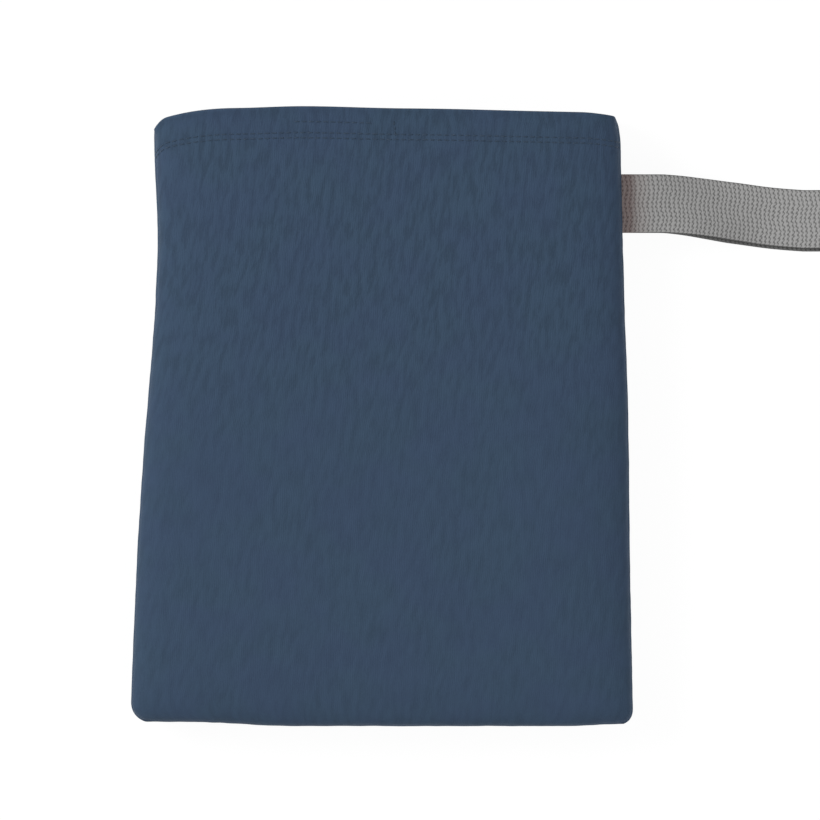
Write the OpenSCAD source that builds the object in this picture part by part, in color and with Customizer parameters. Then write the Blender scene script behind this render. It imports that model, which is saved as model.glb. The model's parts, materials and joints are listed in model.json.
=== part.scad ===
// Stretchy wrap baby carrier, folded and packed in its own flat pouch with a webbing wrist strap.
// All sizes are in millimetres. The pouch lies on its back: X runs across it, Y towards its mouth,
// and Z up out of its front. The origin is on the floor under the middle of the pouch.

/* [Wrap] */
// Length of the wrap cloth, end to end
wrap_l = 4860; // [3600:20:6000]
// Width of the wrap cloth, hem to hem
wrap_w = 560; // [450:10:680]
// Thickness of one ply of the wrap, pressed in the pouch
ply_t = 0.5; // [0.35:0.05:0.65]

/* [Pouch] */
// Outside width at the mouth
mouth_w = 197; // [165:1:240]
// Outside width at the closed end
base_w = 214; // [178:1:257]
// Length from the closed end to the middle of the mouth
pouch_l = 264; // [220:1:317]
// Thickness of the pouch cloth
cloth_t = 0.8; // [0.6:0.05:1]
// Corner radius at the closed end
corner_r = 9; // [5:1:14]
// How far the mouth is set back at its side seams
mouth_arch = 4.5; // [0:0.5:8]
// Sideways lean of the pouch from its closed end to its mouth
lean = 2; // [0:0.5:4]
// How boxy the filled pouch is: 2 is an ellipse
squareness = 6; // [4:0.5:8]

/* [Hem] */
// Depth of the hem that is turned in at the mouth
hem_depth = 15.5; // [13:0.5:22]
// Distance from the mouth's edge to the first row of stitches
stitch_in = 11.3; // [6:0.1:12]
// Distance between the two rows of stitches
stitch_pitch = 2.2; // [2.1:0.1:3]
// Width of a row of stitches
thread_w = 0.5; // [0.4:0.05:0.7]

/* [Seams] */
// Width of the seam allowance inside the pouch
allowance_w = 3.2; // [2.6:0.1:3.8]
// Width of the overlocked edge of the allowance
overlock_w = 2; // [1.5:0.1:2.4]
// Thickness of the thread layer on an overlocked edge
overlock_t = 0.25; // [0.2:0.05:0.4]

/* [Strap] */
// Width of the webbing
strap_w = 25; // [20:1:30]
// Thickness of the webbing
strap_t = 1.4; // [1.1:0.1:1.7]
// Length of the loop, from the side seam to its far end
strap_l = 155; // [128:1:186]
// Distance from the middle of the mouth to the middle of the strap
strap_drop = 41; // [35:1:50]
// Sideways drift of the strap as it settles on the floor
strap_drift = 6.2; // [0:0.2:8]
// Radius of the fold at the far end, at the middle of the webbing
loop_r = 6; // [5:0.5:7]
// Length of strap that comes down from the seam to the floor
strap_run = 66; // [55:1:80]

/* [Labels] */
// Width of the two sewn labels
label_w = 14; // [10:1:20]
// Thickness of a folded label
label_t = 0.6; // [0.4:0.1:0.8]

/* [Hidden] */

// Clearances
seat_gap = 0.05;    // between pieces that lie against each other
slide_clear = 0.3;  // between the folded wrap and the hem that it slides through
side_clear = 1.5;   // between the folded wrap and the allowances beside it
end_clear = 5;      // between the folded wrap and the allowance at the closed end
mouth_room = 8;     // between the folded wrap and the mouth
label_clear = 3;    // between a label and the allowances under it
flex_clear = 0.3;   // between the fixed and the swinging end of the strap
layer_gap = 0.1;    // between the layers of the folded wrap
web_gap = 0.25;     // between the two runs of the strap

// The seam allowances, as depths under the outside of the pouch
allowance_t = 2 * cloth_t;
allowance_out = cloth_t + 3 * seat_gap;
allowance_in = allowance_out + allowance_w;
overlock_out = allowance_in - overlock_w;
overlock_in = allowance_in + seat_gap + overlock_t;

// The folded wrap
lining = 2 * cloth_t + seat_gap + slide_clear;
bundle_w = min(mouth_w, base_w) - 2 * (overlock_in + side_clear);
bundle_l = pouch_l - overlock_in - end_clear - mouth_room;
plies = round(wrap_w / bundle_w);
layers = round(wrap_l / bundle_l);
layer_t = plies * ply_t;
bundle_t = layers * layer_t;
bundle_low = overlock_in + end_clear - pouch_l / 2;
bundle_high = bundle_low + bundle_l;
end_soft = 8;         // how far the ends of its outer layers draw in at the mouth

// The pouch around it
half_l = pouch_l / 2;
half_t = bundle_t / 2 + lining;
seam_z = half_t;
flatness = 1.05;      // how much the back is pressed flat by the floor
dip_depth = 0.32;     // depth of the dip that a row of stitches lies in
dip_slope = 0.5;      // width of each sloping side of the dip
thread_t = 0.25;
steps_across = 24;    // facets from one side seam to the other
steps_end = 11;       // facets from the middle of the pouch to its closed end

// The strap: both ends are caught in the side seam, and it flexes just outside it
strap_y = half_l - strap_drop;
anchor_l = 5;
anchor_rows = 2;
anchor_t = 2 * strap_t + web_gap;
part_from = strap_run + 6;      // where its two runs begin to part
drift_from = strap_run / 3;     // where it begins to drift sideways
row_margin = 1.5;               // from the end of a row of stitches to the edge of the webbing

// 0 before 0, 1 after 1, and a smooth step between them
function smooth(s) = let (c = max(0, min(1, s))) c * c * (3 - 2 * c);

// The other share of a boxy ellipse, from one share of it
function dome(s) = pow(max(0, 1 - pow(abs(s), squareness)), 1 / squareness);

// A cosine or sine drawn out towards the corners of a boxy ellipse
function boxy(c) = sign(c) * pow(abs(c), 2 / squareness);

// Half of the outside width, at y
function half_w(y) = (base_w + (mouth_w - base_w) * (y + half_l) / pouch_l) / 2;

// Middle of the pouch, at y
function axis_x(y) = lean * y / pouch_l;

// The side seam at the strap, and the hinge line that the round root of the strap turns about
seam_x = max([for (e = [-1, 1]) let (y = strap_y + e * strap_w / 2) axis_x(y) + half_w(y)]);
hinge_x = seam_x + flex_clear + anchor_t / 2;

// How far a corner of radius r draws the side in, at a distance d from the closed end
function corner_in(d, r) = d >= r ? 0 : r - sqrt(r * r - (r - d) * (r - d));

// How deep the outside dips for the rows of stitches, at a distance d from the mouth
function dip(d) = max([for (k = [0, 1])
    let (off = abs(d - stitch_in - k * stitch_pitch) - thread_w / 2 - seat_gap)
    dip_depth * max(0, min(1, 1 - off / dip_slope))]);

// A point of the pouch's surface: step i of a turn that starts at the left seam and goes over the front,
// at a distance d from the mouth, and at a depth under the outside
function skin(i, d, depth) = let (
    a = 180 * i / steps_across,
    across = -boxy(cos(a)),
    up = sin(a) >= 0 ? boxy(sin(a)) : -min(1, -flatness * boxy(sin(a))),
    shut = max(0, d / half_l - 1),
    y = shut > 0 ? -shut * (half_l - depth) : half_l - d,
    side = half_w(y) - depth - corner_in((half_l - depth) * (1 - shut), corner_r - depth),
    set_back = mouth_arch * pow(abs(across), 3) * pow(1 - d / pouch_l, 2))
    [axis_x(y) + side * across, y - set_back, seam_z + (half_t - depth) * dome(shut) * up];

// A sheet between two nets of points, each a list of rows. A ring joins the ends of every row.
module sheet_between(outside, inside, ring = false) {
    rows = len(outside);
    columns = len(outside[0]);
    spans = ring ? columns : columns - 1;
    base = rows * columns;
    function at(side, j, i) = side * base + j * columns + i % columns;
    function quad(a, b, c, d) = [[a, b, c], [a, c, d]];
    faces = [
        for (j = [0 : rows - 2], i = [0 : spans - 1])
            each quad(at(0, j, i), at(0, j, i + 1), at(0, j + 1, i + 1), at(0, j + 1, i)),
        for (j = [0 : rows - 2], i = [0 : spans - 1])
            each quad(at(1, j, i), at(1, j + 1, i), at(1, j + 1, i + 1), at(1, j, i + 1)),
        for (i = [0 : spans - 1]) each quad(at(0, 0, i), at(1, 0, i), at(1, 0, i + 1), at(0, 0, i + 1)),
        for (i = [0 : spans - 1], j = rows - 1)
            each quad(at(0, j, i), at(0, j, i + 1), at(1, j, i + 1), at(1, j, i)),
        if (!ring) for (j = [0 : rows - 2])
            each quad(at(0, j, 0), at(0, j + 1, 0), at(1, j + 1, 0), at(1, j, 0)),
        if (!ring) for (j = [0 : rows - 2], i = columns - 1)
            each quad(at(0, j, i), at(1, j, i), at(1, j + 1, i), at(0, j + 1, i)),
    ];
    polyhedron([for (net = [outside, inside], row = net) each row], faces);
}

// Distances from the mouth at which the panels have a row of points
dip_rows = [for (k = [0, 1])
    let (m = stitch_in + k * stitch_pitch, h = thread_w / 2 + seat_gap)
    each [m - h - dip_slope, m - h, m + h, m + h + dip_slope]];
open_rows = concat([0], dip_rows, [2 * hem_depth, half_l / 2, half_l]);
shut_rows = [for (k = [1 : steps_end]) half_l * (1 + boxy(sin(90 * k / steps_end)))];
panel_rows = concat(open_rows, shut_rows);

// One face of the pouch, over the steps from first to last
module panel(first, last) {
    difference() {
        sheet_between(
            [for (d = panel_rows) [for (i = [first : last]) skin(i, d, dip(d))]],
            [for (d = panel_rows) [for (i = [first : last]) skin(i, d, cloth_t)]]);
        strap_slot();
    }
}

// The gap in the right side seam that the strap comes out of
module strap_slot() {
    slot_w = strap_w + 2 * seat_gap;
    slot_t = anchor_t + 2 * seat_gap;
    slot_in = overlock_in + slot_t;
    translate([seam_x - slot_in, strap_y - slot_w / 2, seam_z - slot_t / 2])
        cube([slot_in + slot_t, slot_w, slot_t]);
}

module front_panel() {
    color("#3b4d60") panel(0, steps_across);
}

module back_panel() {
    color("#3b4d60") panel(steps_across, 2 * steps_across);
}

// A ring round the mouth, from one distance from it to another and between two depths
module mouth_ring(from, to, depth, t) {
    turn = [0 : 2 * steps_across - 1];
    sheet_between(
        [for (d = [from, to]) [for (i = turn) skin(i, d, depth)]],
        [for (d = [from, to]) [for (i = turn) skin(i, d, depth + t)]], ring = true);
}

// The cloth turned in at the mouth
module mouth_hem() {
    color("#36475a") mouth_ring(0, hem_depth, cloth_t + seat_gap, cloth_t);
}

// Two rows of thread that hold the hem, each lying in its dip
module hem_stitching() {
    color("#4a5d72") for (k = [0, 1]) {
        m = stitch_in + k * stitch_pitch;
        mouth_ring(m - thread_w / 2, m + thread_w / 2, dip_depth - thread_t - 0.02, thread_t);
    }
}

// Where the seams stop short of the rounded corners at the closed end
seam_end = corner_r + allowance_out;

// A strip of thickness t along a side seam, between two depths under the outside
module side_strip(side, from, to, t) {
    high = hem_depth + seat_gap;
    low = pouch_l - seam_end;
    rows = [high, for (d = panel_rows) if (d > high && d < low) d, low];
    last = len(rows) - 1;
    function point(d, depth) = let (p = skin(side < 0 ? 0 : steps_across, d, depth)) [p[0], p[1]];
    translate([0, 0, seam_z - t / 2]) linear_extrude(t)
        polygon([for (d = rows) point(d, from), for (k = [last : -1 : 0]) point(rows[k], to)]);
}

// A strip of thickness t along the closed end, between two depths under the outside
module end_strip(from, to, t) {
    w = base_w - 2 * seam_end;
    translate([axis_x(-half_l) - w / 2, from - half_l, seam_z - t / 2]) cube([w, to - from, t]);
}

module left_seam() {
    color("#36475a") side_strip(-1, allowance_out, allowance_in, allowance_t);
}

module right_seam() {
    color("#36475a") difference() {
        side_strip(1, allowance_out, allowance_in, allowance_t);
        strap_slot();
    }
}

module bottom_seam() {
    color("#36475a") end_strip(allowance_out, allowance_in, allowance_t);
}

// Thickness of an overlocked edge, outside its thread and inside it
hollow_t = allowance_t + 2 * seat_gap;
overlock_all = hollow_t + 2 * overlock_t;

// The thread that wraps the edge of a side seam's allowance
module side_overlock(side) {
    difference() {
        side_strip(side, overlock_out, overlock_in, overlock_all);
        side_strip(side, allowance_out, allowance_in + seat_gap, hollow_t);
        strap_slot();
    }
}

module left_overlock() {
    color("#4a5d72") side_overlock(-1);
}

module right_overlock() {
    color("#4a5d72") side_overlock(1);
}

module bottom_overlock() {
    color("#4a5d72") difference() {
        end_strip(overlock_out, overlock_in, overlock_all);
        end_strip(allowance_out, allowance_in + seat_gap, hollow_t);
    }
}

// The two ends of the webbing, caught in the side seam
module strap_anchor() {
    reach = anchor_l + cloth_t;
    color("#7d7a79") for (z = [-anchor_t / 2, anchor_t / 2 - strap_t])
        translate([seam_x - reach, strap_y - strap_w / 2, seam_z + z]) cube([reach, strap_w, strap_t]);
}

// Rows of thread that hold the ends of the webbing in the seam
module anchor_stitching() {
    pitch = anchor_l / (anchor_rows + 1);
    lift = anchor_t / 2 + seat_gap + thread_t / 2;
    color("#4a5d72") for (k = [1 : anchor_rows], z = [-lift, lift])
        translate([seam_x - cloth_t - k * pitch, strap_y, seam_z + z])
            cube([thread_w, strap_w - 2 * row_margin, thread_t], center = true);
}

// Heights of the middle of the webbing's lower and upper run, at a distance x from the hinge line
function run_low(x) = strap_t / 2 + (seam_z - strap_t - web_gap / 2) * (1 - smooth(x / strap_run));
fold_x = strap_l - loop_r - strap_t / 2;
function run_high(x) = run_low(x) + strap_t + web_gap
    + (2 * loop_r - strap_t - web_gap) * smooth((x - part_from) / (fold_x - part_from));
function drift_at(x) = -strap_drift * smooth((x - drift_from) / (strap_run - drift_from));

// The webbing's route round the loop, as distances from the hinge line and heights
run_steps = 24;
root_r = (strap_t + web_gap) / 2;
route = [
    for (k = [0 : run_steps]) let (x = fold_x * k / run_steps) [x, run_low(x)],
    for (a = [-75 : 15 : 75]) [fold_x + loop_r * cos(a), strap_t / 2 + loop_r + loop_r * sin(a)],
    for (k = [run_steps : -1 : 0]) let (x = fold_x * k / run_steps) [x, run_high(x)],
    for (a = [105 : 15 : 255]) [root_r * cos(a), seam_z + root_r * sin(a)],
];

// The direction across the webbing at point k of its route, towards the inside of the loop
function across_web(k) =
    let (n = len(route), d = route[(k + 1) % n] - route[(k + n - 1) % n])
    [-d[1], d[0]] / norm(d);

// The two edges of one face of the webbing, half a thickness to one side of its route
function web_face(side) = [for (edge = [1, -1]) [for (k = [0 : len(route) - 1])
    let (p = route[k] + side * strap_t / 2 * across_web(k))
    [hinge_x + p[0], strap_y + drift_at(route[k][0]) + edge * strap_w / 2, p[1]]]];

// The webbing loop, with the round root that it turns on just outside the seam
module wrist_strap() {
    color("#8c8c8c") sheet_between(web_face(-1), web_face(1), ring = true);
}

// Where the folded wrap ends, at a height above its middle
function shut_end(z) = bundle_low * dome(2 * z / bundle_t);
function open_end(z) = bundle_high - end_soft * (1 - dome(2 * z / bundle_t));

// Half the thickness of one layer, and the height of the middle of layer k above the middle of the stack
strip = (layer_t - layer_gap) / 2;
function layer_z(k) = (k + 0.5) * layer_t - bundle_t / 2;

// One side of the fold between layers k and k + 1, which is outermost on one face of the cloth
function fold_side(k, side) = let (
    z = layer_z(k) + layer_t / 2,
    far = k % 2 == 0,
    outer = far == (side < 0),
    r = layer_t / 2,
    y = far ? open_end(z) - r - strip : shut_end(z) + r + strip)
    [for (a = outer ? [-90 : 30 : 90] : [-90 : 90 : 90])
        let (reach = outer ? r + strip : r - strip)
        [y + (far ? 1 : -1) * reach * cos(a), z + reach * sin(a)]];

// One face of the folded cloth, from its first end to its last, as lengths along the pouch and heights
function fold_edge(side) = [
    [shut_end(layer_z(0)) + layer_t, layer_z(0) + side * strip],
    for (k = [0 : layers - 2]) each fold_side(k, side),
    let (z = layer_z(layers - 1), back = layers % 2 == 0)
        [back ? shut_end(z) + layer_t : open_end(z) - layer_t, z + (back ? -side : side) * strip],
];

// The cross-section that the folded wrap is pressed into
function bundle_section() = [for (i = [0 : 2 * steps_across - 1])
    let (a = 180 * i / steps_across) [bundle_w / 2 * boxy(cos(a)), bundle_t / 2 * boxy(sin(a))]];

// The wrap, folded lengthwise into plies and then back and forth into layers
module wrap_cloth() {
    lower = fold_edge(-1);
    upper = fold_edge(1);
    color("#3f5268") translate([0, 0, seam_z]) intersection() {
        rotate([90, 0, 90]) translate([0, 0, -bundle_w / 2]) linear_extrude(bundle_w)
            polygon(concat(lower, [for (k = [len(upper) - 1 : -1 : 0]) upper[k]]));
        rotate([90, 0, 0]) linear_extrude(2 * pouch_l, center = true) polygon(bundle_section());
    }
}

// Height of the labels, and how far they stand out of the folded wrap
label_z = seam_z + overlock_all / 2 + label_clear;
label_reach = overlock_in + side_clear - lining - seat_gap;

// Blank label on the wrap's long hem that marks its middle
module center_label() {
    color("#9aa3ad") translate([bundle_w / 2 + seat_gap, -label_w / 2, label_z])
        cube([label_reach, label_w, label_t]);
}

// Blank care label on the end of the wrap that lies at the closed end
module care_label() {
    reach = end_clear + seat_gap;
    color("#e8e8e4") translate([bundle_w / 4, bundle_low - seat_gap - reach, label_z])
        cube([2 * label_w, reach, label_t]);
}

front_panel();
back_panel();
mouth_hem();
hem_stitching();
left_seam();
right_seam();
bottom_seam();
left_overlock();
right_overlock();
bottom_overlock();
strap_anchor();
anchor_stitching();
wrist_strap();
wrap_cloth();
center_label();
care_label();
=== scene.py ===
# A stretchy wrap baby carrier, folded and packed in its jersey pouch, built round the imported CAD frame.
# Metres, +Z up. The pouch lies on its back with its mouth towards +Y.
import json
import math

import bmesh
import bpy
import numpy as np
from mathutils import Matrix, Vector, noise


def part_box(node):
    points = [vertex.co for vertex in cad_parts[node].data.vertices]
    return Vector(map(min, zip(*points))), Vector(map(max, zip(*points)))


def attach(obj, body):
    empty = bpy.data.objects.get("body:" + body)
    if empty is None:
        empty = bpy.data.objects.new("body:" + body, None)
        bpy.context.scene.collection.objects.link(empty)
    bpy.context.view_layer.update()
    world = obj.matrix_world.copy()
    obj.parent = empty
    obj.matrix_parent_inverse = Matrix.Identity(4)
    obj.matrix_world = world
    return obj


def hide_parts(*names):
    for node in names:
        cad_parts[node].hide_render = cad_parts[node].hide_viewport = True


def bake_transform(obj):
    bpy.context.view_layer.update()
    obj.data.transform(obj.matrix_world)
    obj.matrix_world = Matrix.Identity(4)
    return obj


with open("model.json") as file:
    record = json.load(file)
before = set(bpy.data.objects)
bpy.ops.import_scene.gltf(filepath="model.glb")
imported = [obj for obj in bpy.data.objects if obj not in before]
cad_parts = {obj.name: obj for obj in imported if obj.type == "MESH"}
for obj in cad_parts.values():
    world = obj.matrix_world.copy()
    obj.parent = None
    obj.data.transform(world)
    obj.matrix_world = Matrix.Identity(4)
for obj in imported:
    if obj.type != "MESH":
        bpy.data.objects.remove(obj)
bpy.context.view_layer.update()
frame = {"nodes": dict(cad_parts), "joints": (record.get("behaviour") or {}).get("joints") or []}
MM = 0.001

# ----------------------------------------------------------
# Sizes: the boxes of the frame's nodes, and the named sizes that a box doesn't show
# ----------------------------------------------------------
front_lo, front_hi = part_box("front_panel")
wrap_lo, wrap_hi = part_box("wrap_cloth")
anchor_lo, anchor_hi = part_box("strap_anchor")
strap_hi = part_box("wrist_strap")[1]
swing = next(j for j in frame["joints"] if j["name"] == "strap_swing")

SEAM_Z = front_lo.z
HALF_T = front_hi.z - SEAM_Z
HALF_L = front_hi.y
POUCH_L = 2 * HALF_L
MOUTH_W = 197 * MM
BASE_W = 214 * MM
REACH_MOUTH = {-1: 99.6 * MM, 1: 99.8 * MM}     # from the middle line to each side, at the mouth
REACH_BASE = {-1: 109.2 * MM, 1: 105.5 * MM}    # and at the closed end
BOW = 4.2 * MM            # how far the left side draws in, above its middle
BOW_Y = 70 * MM
BOW_SPAN_UP = 45 * MM
BOW_SPAN_DOWN = 82 * MM
BELLY = 0.7 * MM          # how far the right side bulges, at its middle
BELLY_SPAN = 45 * MM
CORNER = {-1: 9 * MM, 1: 6 * MM}
STRAP_Y = (anchor_lo.y + anchor_hi.y) / 2
STRAP_W = anchor_hi.y - anchor_lo.y
MOUTH_TUCK = 1.6 * MM     # how far the mouth's right corner draws in
TUCK_FROM = 14 * MM       # below the mouth
TUCK_RUN = 12 * MM
OPENING = 1.25 * MM       # how far the right seam opens, each way, for the strap
OPENING_FADE = 4 * MM
CLOTH_T = 0.8 * MM
SKIN_SQUARE = 5           # how boxy the pouch is across
END_SQUARE = 6            # and at its closed end
FLATNESS = 1.06           # how much the back is pressed flat
HEM_DEPTH = 15.5 * MM
STITCH_ROWS = (11.3 * MM, 13.5 * MM)
LABEL_ROW = 6.6 * MM      # below the mouth, the stitches that hold a label inside it
LABEL_ROW_X = (-41 * MM, -3.5 * MM)
LABEL_TICK_X = 2.6 * MM
LABEL_TICK = (5.0 * MM, 14.2 * MM)
THREAD_R = 0.21 * MM
OVERLOCK_R = 0.14 * MM
SEAM_ROLL = 0.5 * MM      # radius at which a panel turns in at a seam
SEAM_LIFT = SEAM_ROLL + 0.42 * MM
ALLOWANCE_Z = 0.43 * MM   # from the seam's middle to the middle of each ply
ALLOWANCE_REACH = np.array([1.15, 2.0, 2.9, 3.8]) * MM
PUCKER_REACH = 5 * MM     # how far the puckers reach from a seam
PUCKERS = ((0.22 * MM, 210, 3), (0.3 * MM, 60, 11))     # height, features per metre, and seed
SWELL = (0.3 * MM, 24)    # and of the slow unevenness between the seams
STITCH_DIP = 0.2 * MM
STITCH_DIP_W = 0.55 * MM
HEM_STEP = 0.12 * MM      # how far the hem's double cloth stands out
LIP_R = 0.425 * MM        # radius at which the mouth's edge turns in
LAYER_INSET = 0.86 * MM   # from the middle of a panel to the middle of the hem's inner ply
ACROSS_STEPS = 168
END_STEPS = 96
BEND_PACE = 7 * MM        # extra length that a whole radian of bend counts for, when a grid is paced
FILLER_DEPTH = 1.6 * MM   # from the pouch's outside to the wrap that it settles on
LUMPS = 0.35 * MM
SLACK = 0.006
SETTLE_FRAMES = 20
SETTLE_CAP = 1.1 * MM
SETTLE_PULL = 6.0         # m/s2, towards the wrap

rng = np.random.default_rng(7)


def smooth(s):
    s = np.clip(s, 0, 1)
    return s * s * (3 - 2 * s)


def boxy(c, square):
    """A cosine or sine drawn out towards the corners of a boxy ellipse."""
    return np.sign(c) * np.abs(c) ** (2 / square)


def dome(s, square):
    """The other share of a boxy ellipse, from one share of it."""
    return np.maximum(0, 1 - np.abs(s) ** square) ** (1 / square)


def unit(vectors):
    """Vectors along the last axis, each brought to length 1."""
    return vectors / np.maximum(np.linalg.norm(vectors, axis=-1, keepdims=True), 1e-12)


def running(line):
    """The length along a line of points, up to each of them."""
    return np.concatenate([[0], np.cumsum(np.linalg.norm(np.diff(line, axis=0), axis=-1))])


def ripple(points, scale, seed=0.0):
    """Smooth noise from -1 to 1 at each point, with features about 1/scale metres across."""
    flat = np.asarray(points, float).reshape(-1, 3) * scale + seed
    values = [noise.noise(Vector(p)) for p in flat]
    return np.array(values).reshape(np.shape(points)[:-1])


# ----------------------------------------------------------
# Meshes
# ----------------------------------------------------------
def link(name, mesh, body=None, material=None):
    mesh.polygons.foreach_set("use_smooth", [True] * len(mesh.polygons))
    piece = bpy.data.objects.new(name, mesh)
    bpy.context.scene.collection.objects.link(piece)
    if material is not None:
        mesh.materials.append(material)
    if body is not None:
        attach(piece, body)
    return piece


def grid_mesh(name, points, uv, ring=False):
    """A mesh of quads over rows of points. A ring joins each row's ends, and its uv has one more column."""
    rows, columns = points.shape[:2]
    spans = columns if ring else columns - 1
    j, i = np.meshgrid(np.arange(rows - 1), np.arange(spans), indexing="ij")
    right = (i + 1) % columns
    low = j * columns
    high = low + columns
    quads = np.stack([low + i, low + right, high + right, high + i], -1).reshape(-1, 4)
    mesh = bpy.data.meshes.new(name)
    mesh.from_pydata(points.reshape(-1, 3).tolist(), [], quads.tolist())
    corners = np.stack([uv[j, i], uv[j, i + 1], uv[j + 1, i + 1], uv[j + 1, i]], 2)
    layer = mesh.uv_layers.new(name="UVMap")
    layer.data.foreach_set("uv", corners.astype(np.float32).ravel())
    return mesh


def lengths(points, axis):
    """Running length along one axis of a grid of points, averaged over the other."""
    step = np.linalg.norm(np.diff(points, axis=axis), axis=-1).mean(axis=1 - axis)
    return np.concatenate([[0], np.cumsum(step)])


def cloth_uv(points, extra=0):
    """Metres across and along a grid of points, with extra columns past the last."""
    across = lengths(points, 1)
    along = lengths(points, 0)
    across = np.concatenate([across, across[-1] + (across[1] - across[0]) * np.arange(1, extra + 1)])
    u, v = np.meshgrid(across, along)
    return np.stack([u - across.mean(), v], -1)


def grid_normals(points, outward):
    """Normals of a grid of points, turned to the side that outward points to."""
    normals = unit(np.cross(np.gradient(points, axis=1), np.gradient(points, axis=0)))
    if (normals * outward).sum() < 0:
        normals = -normals
    return normals


def joined(name, meshes, weld=1e-6):
    """One mesh from several, with points that coincide welded."""
    work = bmesh.new()
    for mesh in meshes:
        work.from_mesh(mesh)
    bmesh.ops.remove_doubles(work, verts=work.verts, dist=weld)
    bmesh.ops.recalc_face_normals(work, faces=work.faces)
    mesh = bpy.data.meshes.new(name)
    work.to_mesh(mesh)
    work.free()
    return mesh


def apply_modifiers(piece):
    """Replaces a piece's mesh with the one that its modifiers make."""
    bpy.context.view_layer.update()
    graph = bpy.context.evaluated_depsgraph_get()
    mesh = bpy.data.meshes.new_from_object(piece.evaluated_get(graph), depsgraph=graph)
    piece.modifiers.clear()
    piece.data = mesh


def thicken(piece, thickness):
    """Gives a sheet its thickness, half to each side."""
    solid = piece.modifiers.new("thickness", "SOLIDIFY")
    solid.thickness = thickness
    solid.offset = 0
    solid.use_even_offset = False
    apply_modifiers(piece)


# ----------------------------------------------------------
# Materials
# ----------------------------------------------------------
SLATE = (0.0350, 0.0640, 0.1075)
GREY = (0.305, 0.303, 0.300)
LABEL_GREY = (0.3, 0.33, 0.37)
LABEL_WHITE = (0.78, 0.78, 0.75)
# Painted shadow at the strap's root, tinted russet as painted reflected light
RUSSET_ROOT_SHADOW = (0.16, 0.078, 0.070, 1)
PALE_RUSSET_ROOT_SHADOW = (0.36, 0.27, 0.25, 1)
# Noise in features per metre, across and along the cloth
WANDER, STREAKS, PATCHES, CASTS, HEATHER = (60, 45), (400, 105), (26, 18), (34, 40), (1900, 900)
WOBBLE, GRAIN = (260, 260), (1500, 1500)
YARN_WANDER = 5 * MM      # how far the knit's columns wander
CREASED = (60 * MM, 150 * MM)    # below the mouth, where the pouch's creases start to fade and where they end


class Shader:
    """A material's node tree, with short names for the nodes that the fabrics are made of."""

    def __init__(self, name, roughness, sheen=0.0, sheen_tint=(1, 1, 1, 1)):
        self.material = bpy.data.materials.new(name)
        self.material.use_nodes = True
        self.tree = self.material.node_tree
        self.bsdf = self.tree.nodes["Principled BSDF"]
        self.bsdf.inputs["Roughness"].default_value = roughness
        self.bsdf.inputs["Specular IOR Level"].default_value = 0.25
        self.bsdf.inputs["Sheen Weight"].default_value = sheen
        self.bsdf.inputs["Sheen Roughness"].default_value = 0.4
        self.bsdf.inputs["Sheen Tint"].default_value = sheen_tint

    def node(self, kind, **inputs):
        made = self.tree.nodes.new(kind)
        for name, value in inputs.items():
            self.put(made.inputs[name.replace("_", " ")], value)
        return made

    def put(self, socket, value):
        if isinstance(value, bpy.types.NodeSocket):
            self.tree.links.new(value, socket)
        else:
            socket.default_value = value

    def math(self, operation, a, b=0.0, c=0.0):
        made = self.tree.nodes.new("ShaderNodeMath")
        made.operation = operation
        for socket, value in zip(made.inputs, (a, b, c)):
            self.put(socket, value)
        return made.outputs[0]

    def add(self, a, b):
        return self.math("ADD", a, b)

    def minus(self, a, b):
        return self.math("SUBTRACT", a, b)

    def rest(self, value):
        return self.math("SUBTRACT", 1.0, value)

    def times(self, a, b):
        return self.math("MULTIPLY", a, b)

    def times_add(self, a, b, c):
        return self.math("MULTIPLY_ADD", a, b, c)

    def divide(self, a, b):
        return self.math("DIVIDE", a, b)

    def wave(self, value, pace=1.0):
        """A wave from 0 to 1 that turns over pace times as value grows by 1."""
        turn = self.times(value, 2 * math.pi * pace)
        return self.times_add(self.math("SINE", turn), 0.5, 0.5)

    def uv(self):
        """The two sockets of the mesh's own coordinates, in metres across and along the cloth."""
        split = self.node("ShaderNodeSeparateXYZ", Vector=self.node("ShaderNodeUVMap").outputs[0])
        return split.outputs[0], split.outputs[1]

    def noise(self, u, v, across, along, detail=3.0):
        """Noise from 0 to 1, with the given features per metre across and along the cloth."""
        place = self.node("ShaderNodeCombineXYZ", X=self.times(u, across), Y=self.times(v, along))
        return self.node("ShaderNodeTexNoise", Vector=place.outputs[0], Scale=1.0, Detail=detail).outputs[0]

    def fade(self, value, low, high):
        """0 where value is under low, 1 over high, and smooth between."""
        made = self.node("ShaderNodeMapRange", Value=value, From_Min=low, From_Max=high)
        made.interpolation_type = "SMOOTHSTEP"
        return made.outputs[0]

    def mix(self, share, first, second):
        made = self.tree.nodes.new("ShaderNodeMix")
        made.data_type = "RGBA"
        for socket, value in zip((made.inputs[0], made.inputs[6], made.inputs[7]), (share, first, second)):
            self.put(socket, value)
        return made.outputs[2]

    def finish(self, colour, height, strength, distance, roughness=None):
        bump = self.node("ShaderNodeBump", Height=height, Strength=strength, Distance=distance)
        self.put(self.bsdf.inputs["Base Color"], colour)
        self.put(self.bsdf.inputs["Normal"], bump.outputs[0])
        if roughness is not None:
            self.put(self.bsdf.inputs["Roughness"], roughness)
        return self.material


def tint(colour, factor):
    return tuple(min(1.0, c * factor) for c in colour[:3]) + (1.0,)


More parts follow.
